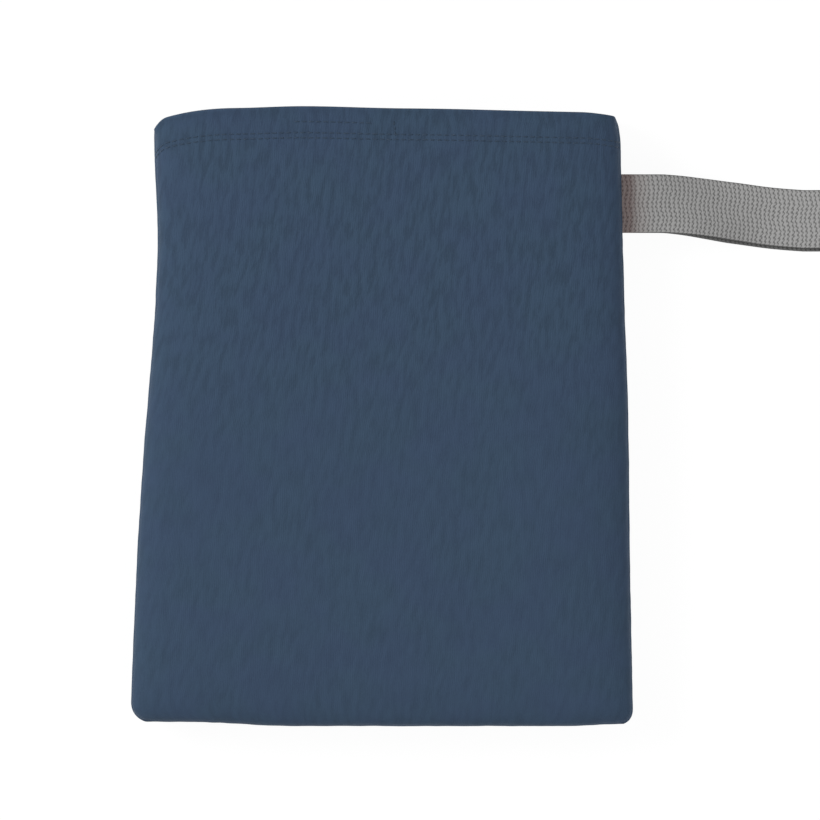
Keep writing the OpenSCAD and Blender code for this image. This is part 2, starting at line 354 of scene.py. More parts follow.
def jersey(name, colour, wale=0.72 * MM, course=0.55 * MM, creasing=0.0):
    """Plain jersey: columns of small V stitches that run along the cloth, with faint streaks of painted light
    and shade from its fine crinkles, and painted shade between the knit's raised loops. creasing is how much
    stronger the streaks are by the pouch's mouth, where the cloth is creased."""
    s = Shader(name, 0.86, sheen=0.12, sheen_tint=(0.55, 0.7, 0.9, 1))
    violet = (colour[0] * 1.1, colour[1] * 0.93, colour[2] * 1.16, 1)
    u, v = s.uv()
    wander = s.times(s.minus(s.noise(u, v, *WANDER), 0.5), YARN_WANDER)
    column = s.divide(s.add(u, wander), wale)
    leg = s.times(s.math("ABSOLUTE", s.minus(s.math("FRACT", column), 0.5)), 2.0)
    phase = s.add(s.divide(v, course), s.times(leg, 0.75))
    loop = s.wave(phase)
    rib = s.rest(s.math("POWER", leg, 2.5))
    height = s.times_add(loop, 0.4, s.times(rib, 0.6))
    slant = s.times_add(v, 0.16, s.times_add(wander, 0.5, u))
    near = s.rest(s.fade(v, *CREASED))
    streaks = s.minus(s.noise(slant, v, *STREAKS, detail=2.0), 0.5)
    crinkle = s.times_add(streaks, s.times_add(near, creasing, 1.0), 0.5)
    patch = s.noise(u, v, *PATCHES, detail=4.0)
    # The colour's shade: painted light and shade of the crinkles and of the knit's raised loops, with patches
    # of random tone
    shade = s.times_add(crinkle, 0.7, s.times(patch, 0.2))
    shade = s.times_add(height, 0.14, shade)
    base = s.mix(s.fade(shade, 0.3, 0.7), tint(colour, 0.88), tint(colour, 1.11))
    cast = s.fade(s.noise(u, v, *CASTS, detail=2.0), 0.35, 0.65)
    base = s.mix(s.times(cast, 0.3), base, violet)
    heather = s.fade(s.noise(u, v, *HEATHER, detail=2.0), 0.45, 0.75)
    base = s.mix(s.times(heather, 0.35), base, tint(colour, 1.3))
    rough = s.times_add(height, -0.08, 0.9)
    relief = s.times_add(crinkle, 1.6, height)
    return s.finish(base, relief, 0.6, 0.2 * MM, rough)


def webbing(name, colour, length, root, pitch=1.95 * MM, warp=1.9 * MM, chevron=12.5 * MM):
    """Herringbone webbing: ribs across the width, broken by the warp into dots that shift from rib to rib.
    Its colour has painted shade in the weave's pits and painted light on its ribs, a dark line of painted
    shade along its selvedges, widest on the lower run, and a russet painted shadow, warmed by painted
    reflected light, where it leaves the seam. length is its whole length, and root is how much of it at each
    end is in the seam."""
    s = Shader(name, 0.72, sheen=0.1)
    u, v = s.uv()
    turn = s.math("PINGPONG", s.add(u, chevron), chevron / 2)
    wobble = s.times(s.minus(s.noise(u, v, *WOBBLE, detail=2.0), 0.5), 0.9)
    slanted = s.add(s.divide(v, pitch), s.divide(turn, 6 * pitch))
    rib = s.add(slanted, wobble)
    ridge = s.wave(rib)
    shift = s.times(s.math("FLOOR", s.add(rib, 0.25)), 0.5)
    yarn = s.add(s.add(s.divide(u, warp), shift), s.times(rib, 0.5))
    dots = s.wave(yarn)
    pit = s.math("POWER", s.times(s.rest(ridge), dots), 1.1)
    height = s.rest(s.times(pit, 1.15))
    height = s.times_add(ridge, 0.1, s.times(height, 0.9))
    grain = s.noise(u, v, *GRAIN, detail=2.0)
    # Painted shade in the weave's pits and painted light on its ribs, mixed with the grain's random tone
    grain_and_pit_shade = s.times_add(grain, 0.5, s.times(height, 0.6))
    base = s.mix(s.fade(grain_and_pit_shade, 0.25, 0.85), tint(colour, 0.5), tint(colour, 1.22))
    # A dark line of painted shade along the selvedges, wider on the lower run where the runs press together
    under = s.math("LESS_THAN", v, length / 2)
    inset = s.times_add(under, 1.5 * MM, 0.35 * MM)
    from_edge = s.minus(STRAP_W / 2, s.math("ABSOLUTE", u))
    selvedge_shade = s.math("LESS_THAN", from_edge, inset)
    base = s.mix(s.times(selvedge_shade, 0.72), base, tint(colour, 0.16))
    # A russet painted shadow, warmed by painted reflected light, where the strap leaves the seam
    from_root = s.minus(s.math("MINIMUM", v, s.minus(length, v)), root)
    ragged = s.times_add(grain, 3 * MM, from_root)
    for share, low, high, cast in ((0.5, 2.5 * MM, 6.5 * MM, RUSSET_ROOT_SHADOW), (0.22, 5 * MM, 14 * MM, PALE_RUSSET_ROOT_SHADOW)):
        near = s.rest(s.fade(ragged, low, high))
        base = s.mix(s.times(near, share), base, cast)
    return s.finish(base, height, 0.8, 0.4 * MM)


def thread(name, colour, pitch=0.55 * MM):
    """Twisted sewing thread."""
    s = Shader(name, 0.6, sheen=0.15)
    place = s.node("ShaderNodeSeparateXYZ", Vector=s.node("ShaderNodeTexCoord").outputs["Object"])
    spin = s.add(s.add(place.outputs[0], place.outputs[1]), place.outputs[2])
    ply = s.wave(spin, 1 / pitch)
    # Darker between the plies of the twist and lighter on them: painted shade and painted light
    return s.finish(s.mix(ply, tint(colour, 0.75), tint(colour, 1.15)), ply, 0.5, 0.1 * MM)


def satin(name, colour, warp_pitch=0.35 * MM, weft_pitch=0.5 * MM):
    """A woven satin label, left blank."""
    s = Shader(name, 0.42, sheen=0.05)
    place = s.node("ShaderNodeSeparateXYZ", Vector=s.node("ShaderNodeTexCoord").outputs["Object"])
    warp = s.math("ABSOLUTE", s.math("SINE", s.times(place.outputs[0], math.pi / warp_pitch)))
    weft = s.math("ABSOLUTE", s.math("SINE", s.times(place.outputs[1], math.pi / weft_pitch)))
    height = s.times_add(warp, 0.6, s.times(weft, 0.4))
    # Darker in the weave's low spots and lighter on its raised yarns: painted shade and painted light
    return s.finish(s.mix(height, tint(colour, 0.88), tint(colour, 1.05)), height, 0.3, 0.1 * MM)


pouch_cloth = jersey("pouch_jersey", SLATE, creasing=1.6)
# The same jersey, 7% darker for the seam allowances and the hem inside the pouch: painted shade
inner_cloth_shaded = jersey("seam_jersey", tint(SLATE, 0.93))
wrap_fabric = jersey("wrap_jersey", tint(SLATE, 1.04), wale=0.66 * MM, course=0.5 * MM)
sewing = thread("sewing_thread", tint(SLATE, 0.97))
overlocking = thread("overlock_thread", tint(SLATE, 1.35))

# ----------------------------------------------------------
# Camera, floor and light
# ----------------------------------------------------------
VIEW_W = 0.350            # width of the view at the height of the pouch's side seams
CAMERA_UP = 4.0
AIM = Vector((10.2 * MM, 2.9 * MM, SEAM_Z))
FLOOR_REACH = 3.0
FLOOR_DROP = 0.2 * MM
FLOOR_GREY = 0.8
FLOOR_GLOW = 1.05         # strength of the white that the camera sees
GLOW_SHARE = 0.9          # and how much of it, over the floor's own shade
KEY = {"place": (-1.35, 0.6, 1.2), "size": 0.9, "watts": 24}
FILL = {"place": (0.9, -0.5, 1.3), "size": 1.2, "watts": 6.2}
WORLD_LEVEL = 0.43


def make_camera():
    data = bpy.data.cameras.new("camera")
    data.lens = data.sensor_width * CAMERA_UP / VIEW_W
    camera = bpy.data.objects.new("camera", data)
    camera.location = AIM + Vector((0, 0, CAMERA_UP))
    bpy.context.scene.collection.objects.link(camera)
    bpy.context.scene.camera = camera


def floor_material():
    """A pale matte floor that the camera, gloss and glass see nearly shadowless, as a studio sweep."""
    material = bpy.data.materials.new("floor")
    material.use_nodes = True
    tree = material.node_tree
    tree.nodes.clear()
    output = tree.nodes.new("ShaderNodeOutputMaterial")
    blend = tree.nodes.new("ShaderNodeMixShader")
    matte = tree.nodes.new("ShaderNodeBsdfDiffuse")
    matte.inputs[0].default_value = (FLOOR_GREY, FLOOR_GREY, FLOOR_GREY, 1)
    glow = tree.nodes.new("ShaderNodeEmission")
    glow.inputs["Strength"].default_value = FLOOR_GLOW
    seen = tree.nodes.new("ShaderNodeLightPath")
    share = tree.nodes.new("ShaderNodeMath")
    share.operation = "MULTIPLY"
    share.inputs[1].default_value = GLOW_SHARE
    rays = seen.outputs["Is Camera Ray"]
    for kind in ("Is Glossy Ray", "Is Transmission Ray"):
        either = tree.nodes.new("ShaderNodeMath")
        either.operation = "MAXIMUM"
        tree.links.new(rays, either.inputs[0])
        tree.links.new(seen.outputs[kind], either.inputs[1])
        rays = either.outputs[0]
    tree.links.new(rays, share.inputs[0])
    tree.links.new(share.outputs[0], blend.inputs[0])
    tree.links.new(matte.outputs[0], blend.inputs[1])
    tree.links.new(glow.outputs[0], blend.inputs[2])
    tree.links.new(blend.outputs[0], output.inputs[0])
    return material


def make_floor():
    corners = [(x * FLOOR_REACH, y * FLOOR_REACH, 0) for x, y in ((-1, -1), (1, -1), (1, 1), (-1, 1))]
    mesh = bpy.data.meshes.new("floor")
    mesh.from_pydata(corners, [], [(0, 1, 2, 3)])
    mesh.materials.append(floor_material())
    floor = bpy.data.objects.new("floor", mesh)
    floor.location.z = -FLOOR_DROP
    bpy.context.scene.collection.objects.link(floor)


def make_light(name, place, size, watts):
    data = bpy.data.lights.new(name, "AREA")
    data.size = size
    data.energy = watts
    light = bpy.data.objects.new(name, data)
    light.location = place
    light.rotation_euler = (-Vector(place)).to_track_quat("-Z", "Y").to_euler()
    bpy.context.scene.collection.objects.link(light)


def make_stage():
    make_floor()
    make_light("key", **KEY)
    make_light("fill", **FILL)
    world = bpy.data.worlds.new("world")
    world.use_nodes = True
    background = world.node_tree.nodes["Background"]
    background.inputs["Color"].default_value = (1, 1, 1, 1)
    background.inputs["Strength"].default_value = WORLD_LEVEL
    bpy.context.scene.world = world
    bpy.context.scene.view_settings.view_transform = "Standard"


# ----------------------------------------------------------
# The pouch's skin
# ----------------------------------------------------------
def side_x(side, y):
    """The outside of the pouch at its side seams, at y, with its rounded corners at the closed end."""
    along = (y + HALF_L) / POUCH_L
    span = np.where(y > BOW_Y, BOW_SPAN_UP, BOW_SPAN_DOWN)
    bow = BOW * np.exp(-(((y - BOW_Y) / span) ** 2))
    belly = BELLY * np.exp(-((y / BELLY_SPAN) ** 2))
    tuck = MOUTH_TUCK * np.clip((y - HALF_L + TUCK_FROM) / TUCK_RUN, 0, 1.1) ** 2
    left = REACH_BASE[-1] + (REACH_MOUTH[-1] - REACH_BASE[-1]) * along - bow
    right = REACH_BASE[1] + (REACH_MOUTH[1] - REACH_BASE[1]) * along + belly - tuck
    half = np.where(side < 0, left, right)
    radius = np.where(side < 0, CORNER[-1], CORNER[1])
    short = np.clip(radius - (y + HALF_L), 0, radius)
    return side * (half - radius + np.sqrt(np.maximum(0, radius**2 - short**2)))


def ease(x, size, start, span):
    """A smooth step of a size, from a start and over a span."""
    return size * smooth((x - start) / span)


def rounding(x, size, start, span, power):
    """A corner that rounds off, by a size at the end of its span and a little more past it."""
    return size * np.clip((x - start) / span, 0, 1.1) ** power


def mouth_drop(x):
    """How far the mouth's edge is set back at x: rounded on the left, and squarer on the right."""
    left = ease(-x, 0.75 * MM, 36 * MM, 30 * MM) + rounding(-x, 5.2 * MM, 62 * MM, 36 * MM, 2.2)
    left = left + rounding(-x, 3.5 * MM, 93 * MM, 6 * MM, 2)
    right = ease(x, 0.9 * MM, -37 * MM, 45 * MM) + ease(x, 1.7 * MM, 0, 100 * MM)
    return left + right + rounding(x, 1.4 * MM, 84 * MM, 14 * MM, 1.5)


def base_lift(x):
    """How far the closed end is drawn up at x, towards its corners."""
    return ease(-x, 1.9 * MM, 40 * MM, 45 * MM) + ease(x, 0.9 * MM, 80 * MM, 14 * MM)


def strap_part(x, y):
    """How far the right seam opens, each way from its middle, for the strap's root."""
    off = np.abs(y - STRAP_Y) - STRAP_W / 2
    return OPENING * (1 - smooth((off - 0.3 * MM) / OPENING_FADE)) * smooth((x - 80 * MM) / (18 * MM))


def skin(turn, d, depth, face):
    """Points of the pouch's skin at an angle from the left seam (0) over the face to the right (pi), at a
    distance d from the mouth and a depth under the outside. face is 1 in front and -1 behind."""
    closing = np.clip(d / HALF_L - 1, 0, 1)
    y = np.where(closing > 0, -closing * (HALF_L - depth), HALF_L - d)
    across = -boxy(np.cos(turn), SKIN_SQUARE)
    side = np.where(across < 0, -1, 1)
    edge = side_x(side, y) - side * depth
    middle = (side_x(-1, y) + side_x(1, y)) / 2
    x = middle + (edge - middle) * np.abs(across)
    rise = boxy(np.sin(turn), SKIN_SQUARE) * dome(closing, END_SQUARE)
    if face < 0:
        rise = np.minimum(1, FLATNESS * rise)
    lift = SEAM_LIFT + strap_part(x, y)
    z = SEAM_Z + face * (lift + (HALF_T - depth - lift) * rise)
    y = y - mouth_drop(x) * np.clip(1 - d / (0.7 * POUCH_L), 0, 1) ** 1.5
    y = y + base_lift(x) * np.clip(1 - (y + HALF_L) / (0.25 * POUCH_L), 0, 1) ** 1.5
    return np.stack([x, y, z], -1)


def paced(turn, x, z, count):
    """Values of turn that step evenly along the curve (x, z), a little closer where it bends."""
    dx, dz = np.diff(x), np.diff(z)
    heading = np.unwrap(np.arctan2(dz, dx))
    bend = np.abs(np.concatenate([[0], np.diff(heading)]))
    run = np.concatenate([[0], np.cumsum(np.hypot(dx, dz) + BEND_PACE * bend)])
    return np.interp(np.linspace(0, run[-1], count), run, turn)


def paced_steps(across_count, end_count):
    """Angles across the skin, and distances from the mouth over the closed half, in even steps."""
    turn = np.linspace(0, np.pi, 4001)
    skin_x = MOUTH_W / 2 * boxy(np.cos(turn), SKIN_SQUARE)
    across = paced(turn, skin_x, HALF_T * boxy(np.sin(turn), SKIN_SQUARE), across_count)
    turn = np.linspace(0, np.pi / 2, 4001)
    end_y = HALF_L * boxy(np.sin(turn), END_SQUARE)
    ends = paced(turn, end_y, HALF_T * boxy(np.cos(turn), END_SQUARE), end_count)
    return across, HALF_L * (1 + boxy(np.sin(ends), END_SQUARE))


def panel_grid(face):
    """The middle of one panel's cloth, as rows from the mouth to the closed end."""
    across, ends = paced_steps(ACROSS_STEPS + 1, END_STEPS + 1)
    opened = np.concatenate([np.arange(0.85, 18, 1.1), np.linspace(19, 132, 62)[:-1]]) * MM
    d = np.concatenate([opened, ends])
    turn, rows = np.meshgrid(across, d)
    return skin(turn, rows, CLOTH_T / 2, face), d


def filler_mesh():
    """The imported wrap's outside, a little lumpy from its folds, which the panels settle on."""
    across, ends = paced_steps(73, 49)
    turn, d = np.meshgrid(across, np.concatenate([np.linspace(9 * MM, HALF_L, 50)[:-1], ends]))
    ahead, behind = (skin(turn, d, FILLER_DEPTH, face) for face in (1, -1))
    ring = np.concatenate([ahead, behind[:, -2:0:-1]], 1)
    away = unit(ring - ring.mean(1, keepdims=True))
    ring = ring + away * (LUMPS * ripple(ring * [1, 0.7, 1], 26, 9))[..., None]
    return grid_mesh("filler", ring, np.zeros((ring.shape[0], ring.shape[1] + 1, 2)), ring=True)


def cloth_sheet(points):
    """A sheet of cloth, held along all its four edges, and its cloth modifier."""
    rows, columns = points.shape[:2]
    piece = link("settling", grid_mesh("settling", points, cloth_uv(points)))
    held = [j * columns + i for j in range(rows) for i in (0, columns - 1)]
    held += list(range(columns)) + list(range((rows - 1) * columns, rows * columns))
    group = piece.vertex_groups.new(name="held")
    group.add(held, 1.0, "REPLACE")
    cloth = piece.modifiers.new("cloth", "CLOTH")
    cloth.settings.quality = 6
    cloth.settings.mass = 0.02
    cloth.settings.tension_stiffness = 10
    cloth.settings.compression_stiffness = 6
    cloth.settings.shear_stiffness = 3
    cloth.settings.bending_stiffness = 0.02
    cloth.settings.vertex_group_mass = "held"
    cloth.settings.shrink_min = -SLACK
    cloth.collision_settings.distance_min = 0.4 * MM
    cloth.collision_settings.collision_quality = 3
    return piece, cloth


def settled(points, face):
    """How far each point of a coarse panel moves as it settles on the folded wrap."""
    cloth_piece, cloth = cloth_sheet(points)
    filler = link("filler", filler_mesh())
    filler.modifiers.new("collision", "COLLISION")
    filler.collision.thickness_outer = 0.3 * MM
    scene = bpy.context.scene
    scene.gravity = (0, 0, -SETTLE_PULL * face)
    cloth.point_cache.frame_end = SETTLE_FRAMES
    for moment in range(1, SETTLE_FRAMES + 1):
        scene.frame_set(moment)
    apply_modifiers(cloth_piece)
    move = np.array([v.co for v in cloth_piece.data.vertices]).reshape(points.shape) - points
    scene.frame_set(1)
    for piece in (cloth_piece, filler):
        bpy.data.objects.remove(piece)
    return move


def spread(values, picks, count):
    """Values along the rows of a coarse grid, brought to a full count of rows."""
    full = np.arange(count)
    flat = values.reshape(len(values), -1)
    made = np.stack([np.interp(full, picks, column) for column in flat.T], -1)
    return made.reshape((count,) + values.shape[1:])


def settle(points, face):
    """Lets one panel settle on the folded wrap, held at its seams and its mouth, and returns its points.
    It settles at half its resolution. Its moves are then smoothed, capped and spread over all its points."""
    rows, columns = points.shape[:2]
    pick_r = np.unique(np.round(np.linspace(0, rows - 1, rows // 2)).astype(int))
    pick_c = np.unique(np.round(np.linspace(0, columns - 1, columns // 2)).astype(int))
    move = settled(points[np.ix_(pick_r, pick_c)], face)
    for _ in range(2):
        move[1:-1, 1:-1] = (move[:-2, 1:-1] + move[2:, 1:-1] + move[1:-1, :-2] + move[1:-1, 2:]) / 4
    far = np.maximum(np.linalg.norm(move, axis=-1, keepdims=True), 1e-9)
    move = move / far * SETTLE_CAP * np.tanh(far / SETTLE_CAP)
    wide = spread(move.transpose(1, 0, 2), pick_c, columns)
    return points + spread(wide.transpose(1, 0, 2), pick_r, rows)


def dress(points, d, face):
    """Adds the marks of sewing to a settled panel: puckers at its seams, the hem's edge and its stitches."""
    outward = np.array([0, 0, face])
    normals = grid_normals(points, outward)
    x, y = points[..., 0], points[..., 1]
    to_side = np.minimum(np.abs(x - side_x(-1, y)), np.abs(x - side_x(1, y)))
    to_seam = np.minimum(to_side, (y + HALF_L))
    near = np.exp(-((to_seam / PUCKER_REACH) ** 2))
    pucker = near * sum(size * ripple(points, scale, seed) for size, scale, seed in PUCKERS)
    soft = SWELL[0] * ripple(points * [1, 0.6, 1], SWELL[1], 5 * face) * (1 - near)
    rows = d[:, None]
    dips = sum(np.exp(-(((rows - m) / STITCH_DIP_W) ** 2)) for m in STITCH_ROWS)
    hem_edge = HEM_STEP * (1 - smooth((rows - HEM_DEPTH) / (1.2 * MM)))
    tug = 1 + 0.5 * ripple(points * [1, 0, 1], 160, 21)
    roll = np.exp(-(((rows - 0.85 * MM) / (1.5 * MM)) ** 2))
    lift = pucker + soft - STITCH_DIP * dips * tug + hem_edge * (1 - roll)
    held = smooth(to_seam / (1.2 * MM)) * 0.7 + 0.3
    return points + normals * (lift * held)[..., None]


def gather_edge(points, least=0.45 * MM):
    """Draws together the points that bunch at the corners of a panel's sewn edge, so no sliver is left."""
    rows, columns = points.shape[:2]
    edge = [(j, 0) for j in range(rows)] + [(rows - 1, i) for i in range(1, columns)]
    edge += [(j, columns - 1) for j in range(rows - 2, -1, -1)]
    kept = points[edge[0]]
    for place in edge[1:]:
        if np.linalg.norm(points[place] - kept) < least:
            points[place] = kept
        else:
            kept = points[place].copy()


def hem_roll(points, normals):
    """Rows of points that turn the mouth's edge in, from inside the pouch to the panel's first row."""
    down = unit(points[1] - points[0])
    out = normals[0]
    centre = points[0] - out * LIP_R
    arc = np.radians(np.arange(180, 0, -22.5))[:, None, None]
    rows = centre + out * (LIP_R * np.cos(arc)) - down * (LIP_R * np.sin(arc))
    lip = np.stack([centre - out * LIP_R + down * reach for reach in (1.3 * MM, 0.6 * MM)])
    return np.concatenate([lip, rows])


def seam_roll(points, face):
    """A strip that turns the panel's edge in along both side seams and the closed end."""
    edge = np.concatenate([points[:, 0], points[-1, 1:-1], points[::-1, -1]])
    flat = edge[:, :2]
    run = running(flat)
    ahead = unit(np.stack([np.interp(run + 1 * MM, run, flat[:, k]) - np.interp(run - 1 * MM, run, flat[:, k])
                           for k in range(2)], -1))
    inward = np.stack([-ahead[:, 1], ahead[:, 0]], -1)
    centre = flat.mean(0)
    if (inward * (centre - flat)).sum() < 0:
        inward = -inward
    rings = [edge]
    for angle in (30, 60, 90):
        reach = SEAM_ROLL * (1 - math.cos(math.radians(angle)))
        drop = SEAM_ROLL * math.sin(math.radians(angle))
        rings.append(np.concatenate([flat + inward * reach, edge[:, 2:] - face * drop], -1))
    rings.append(np.concatenate([flat + inward * (SEAM_ROLL + 0.6 * MM), rings[-1][:, 2:]], -1))
    return np.stack(rings)


def make_panel(name, face, node):
    """One face of the pouch: settled, sewn and given its thickness."""
    points, d = panel_grid(face)
    points = dress(settle(points, face), d, face)
    gather_edge(points)
    normals = grid_normals(points, np.array([0, 0, face]))
    whole = np.concatenate([hem_roll(points, normals), points])
    strip = seam_roll(points, face)
    skin_mesh = grid_mesh(name, whole, cloth_uv(whole))
    edge_uv = cloth_uv(strip)
    edge_uv[..., 0] += 2 * BASE_W
    mesh = joined(name, [skin_mesh, grid_mesh(name, strip, edge_uv)], weld=0.002 * MM)
    piece = link(name, mesh, "pouch", pouch_cloth)
    thicken(piece, CLOTH_T)
    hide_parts(node)
    return piece, points, normals, d


def make_allowance(name, path, inward):
    """The two plies of a seam's allowance, which stand in from the pouch's edge. path is that edge."""
    path, inward = np.asarray(path), np.asarray(inward)
    part = strap_part(path[:, 0], path[:, 1])[:, None]
    plies = []
    for face in (1, -1):
        rows = []
        for reach in ALLOWANCE_REACH:
            rise = SEAM_Z + face * (ALLOWANCE_Z + part)
            rows.append(np.concatenate([path + inward * reach, rise], -1))
        ply = np.stack(rows)
        plies.append(grid_mesh(name, ply, cloth_uv(ply)))
    piece = link(name + "_allowance", joined(name, plies, weld=0), "pouch", inner_cloth_shaded)
    thicken(piece, CLOTH_T - 0.02 * MM)
    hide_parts(name)


def make_allowances():
    """The allowances of both side seams and of the closed end."""
    for name, side in (("left_seam", -1), ("right_seam", 1)):
        lo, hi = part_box(name)
        y = np.linspace(lo.y, hi.y, 80)
        make_allowance(name, np.stack([side_x(side, y), y], -1), np.stack([-side + 0 * y, 0 * y], -1))
    lo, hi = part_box("bottom_seam")
    x = np.linspace(lo.x, hi.x, 80)
    edge = np.stack([x, base_lift(x) - HALF_L], -1)
    make_allowance("bottom_seam", edge, np.stack([0 * x, 1 + 0 * x], -1))


def make_hem(front, back):
    """The ply that is turned in at the mouth, right round it."""
    plies = []
    for _, points, normals, d in (front, back):
        rows = (d > 2.0 * MM) & (d < HEM_DEPTH + 0.5 * MM)
        plies.append(points[rows] - normals[rows] * LAYER_INSET)
    ahead, behind = plies
    left = (ahead[:, :1] + behind[:, :1]) / 2
    right = (ahead[:, -1:] + behind[:, -1:]) / 2
    ring = np.concatenate([left, ahead[:, 1:-1], right, behind[:, -2:0:-1]], 1)
    mesh = grid_mesh("mouth_hem_cloth", ring, cloth_uv(ring, 1), ring=True)
    hem = link("mouth_hem_cloth", mesh, "pouch", inner_cloth_shaded)
    thicken(hem, CLOTH_T)
    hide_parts("mouth_hem")
    return hem


# ----------------------------------------------------------
# Sewing
# ----------------------------------------------------------
def tube_points(path, radii, sides=6):
    """Rings of points round a path. Each ring's plane lies across the path."""
    path = np.asarray(path, float)
    ahead = unit(np.gradient(path, axis=0))
    helper = np.where(np.abs(ahead[:, 2:]) > 0.9, [1.0, 0, 0], [0, 0, 1.0])
    across = unit(np.cross(ahead, helper))
    up = np.cross(across, ahead)
    turn = np.linspace(0, 2 * np.pi, sides, endpoint=False)
    ring = across[:, None] * np.cos(turn)[:, None] + up[:, None] * np.sin(turn)[:, None]
    return path[:, None] + ring * np.asarray(radii)[:, None, None]


def tubes(name, paths, radii, body, material, node=None, sides=6):
    """One piece that holds a tube along each path."""
    verts, faces = [], []
    for path, radius in zip(paths, radii):
        rings = tube_points(path, radius, sides)
        count, start = len(rings), len(verts)
        verts += rings.reshape(-1, 3).tolist()
        for j in range(count - 1):
            for i in range(sides):
                a, b = start + j * sides + i, start + j * sides + (i + 1) % sides
                faces.append((a, b, b + sides, a + sides))
        faces.append([start + i for i in range(sides)][::-1])
        faces.append([start + (count - 1) * sides + i for i in range(sides)])
    mesh = bpy.data.meshes.new(name)
    mesh.from_pydata(verts, [], faces)
    piece = link(name, mesh, body, material)
    if node:
        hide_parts(node)
    return piece


STITCH_AT = np.array([0, 0.12, 0.35, 0.65, 0.88, 1.0])             # shares of a stitch's length
STITCH_RISE = np.array([-1.5, 0.15, 0.75, 0.75, 0.15, -1.5])       # in radii, over the cloth
STITCH_TAPER = np.array([0.6, 0.95, 1, 1, 0.95, 0.6])


def stitches(line, normals, length=2.5 * MM, gap=0.55 * MM, radius=THREAD_R):
    """Paths and radii of a row of stitches on a line that lies on the cloth. Each dives in at both ends."""
    run = running(line)
    paths, radii = [], []
    for begin in np.arange(gap, run[-1] - length, length + gap):
        at = begin + length * STITCH_AT
        place = np.stack([np.interp(at, run, line[:, k]) for k in range(3)], -1)
        out = np.stack([np.interp(at, run, normals[:, k]) for k in range(3)], -1)
        paths.append(place + out * (radius * STITCH_RISE + CLOTH_T / 2)[:, None])
        radii.append(radius * STITCH_TAPER)
    return paths, radii


def row_line(panel, m, low=None, high=None):
    """The line on a panel at a distance m from its mouth, with normals, between two places across it."""
    _, points, normals, d = panel
    below = int(np.searchsorted(d, m))
    share = (m - d[below - 1]) / (d[below] - d[below - 1])
    line = points[below - 1] * (1 - share) + points[below] * share
    out = normals[below - 1] * (1 - share) + normals[below] * share
    keep = np.ones(len(line), bool)
    if low is not None:
        keep = (line[:, 0] > low) & (line[:, 0] < high)
    return line[keep], out[keep]


def make_hem_stitches(front, back):
    """Two rows right round the hem, and the short row and tick that hold a label inside the mouth."""
    made = [stitches(*row_line(panel, m)) for panel in (front, back) for m in STITCH_ROWS]
    made.append(stitches(*row_line(front, LABEL_ROW, *LABEL_ROW_X)))
    _, points, normals, d = front
    column = int(np.argmin(np.abs(points[5, :, 0] - LABEL_TICK_X)))
    rows = (d > LABEL_TICK[0]) & (d < LABEL_TICK[1])
    made.append(stitches(points[rows, column], normals[rows, column], length=1.9 * MM, gap=0.3 * MM))
    paths = [path for row_paths, _ in made for path in row_paths]
    radii = [radius for _, row_radii in made for radius in row_radii]
    return tubes("hem_stitch_rows", paths, radii, "pouch", sewing, "hem_stitching")


def overlock_path(edge, inward, half_t, pitch=2.6 * MM):
    """A thread that wraps the edge of a seam allowance, loop after loop. edge is the pouch's own edge."""
    run = running(edge)
    turns = int(run[-1] / pitch)
    at = np.linspace(0, run[-1], turns * 8)
    turn = 2 * np.pi * np.arange(turns * 8) / 8
    reach = (3.2 + 1.0 * np.cos(turn)) * MM
    place = np.stack([np.interp(at, run, edge[:, k]) + reach * inward[k] for k in range(2)], -1)
    return np.concatenate([place, (SEAM_Z + half_t * np.sin(turn))[:, None]], -1)


def make_overlocks():
    """The overlocked edges of the three seam allowances."""
    half_t = CLOTH_T + 0.17 * MM
    for name, side in (("left_overlock", -1), ("right_overlock", 1)):
        lo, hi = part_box(name)
        cuts = [(lo.y, hi.y)]
        if side > 0:
            cuts = [(lo.y, anchor_lo.y - 4 * MM), (anchor_hi.y + 4 * MM, hi.y)]
        paths = []
        for low, high in cuts:
            y = np.linspace(low, high, 60)
            paths.append(overlock_path(np.stack([side_x(side, y), y], -1), (-side, 0), half_t))
        radii = [np.full(len(p), OVERLOCK_R) for p in paths]
        tubes(name + "_thread", paths, radii, "pouch", overlocking, name, sides=5)
    lo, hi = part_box("bottom_overlock")
    x = np.linspace(lo.x, hi.x, 60)
    path = overlock_path(np.stack([x, base_lift(x) - HALF_L], -1), (0, 1), half_t)
    radii = [np.full(len(path), OVERLOCK_R)]
    tubes("bottom_overlock_thread", [path], radii, "pouch", overlocking, "bottom_overlock", sides=5)


# ----------------------------------------------------------
# The strap
# ----------------------------------------------------------
HINGE_X, _, HINGE_Z = swing["pos_m"]
STRAP_T = 1.4 * MM
WEB_GAP = (anchor_hi.z - anchor_lo.z) - 2 * STRAP_T
LOOP_R = 6 * MM
STRAP_RUN = 66 * MM       # from the seam to where the strap lies on the floor
PART_FROM = 72 * MM       # where its two runs start to part
DRIFT_FROM = 16 * MM      # where it starts to drift towards the closed end
DRIFT_RUN = 60 * MM
DRIFT_SIZE = 6.4 * MM
PEEK_SIZE = 1.3 * MM      # how far its lower run shows past its upper one
PEEK_SPAN = np.array([14, 30, 150, 50]) * MM     # start, rise, stop and fall
STRAP_LEAN = np.radians(9)
LEAN_SPAN = np.array([10, 22, 58, 22]) * MM
FOLD_X = strap_hi.x - HINGE_X - LOOP_R - STRAP_T / 2


def between(x, start, rise, stop, fall):
    """1 between two places and 0 outside them, with a smooth rise after start and fall before stop."""
    return smooth((x - start) / rise) * smooth((stop - x) / fall)


def run_low(x):
    return STRAP_T / 2 + (HINGE_Z - STRAP_T - WEB_GAP / 2) * (1 - smooth(x / STRAP_RUN))


def run_high(x):
    opened = 2 * LOOP_R - STRAP_T - WEB_GAP
    return run_low(x) + STRAP_T + WEB_GAP + opened * smooth((x - PART_FROM) / (FOLD_X - PART_FROM))


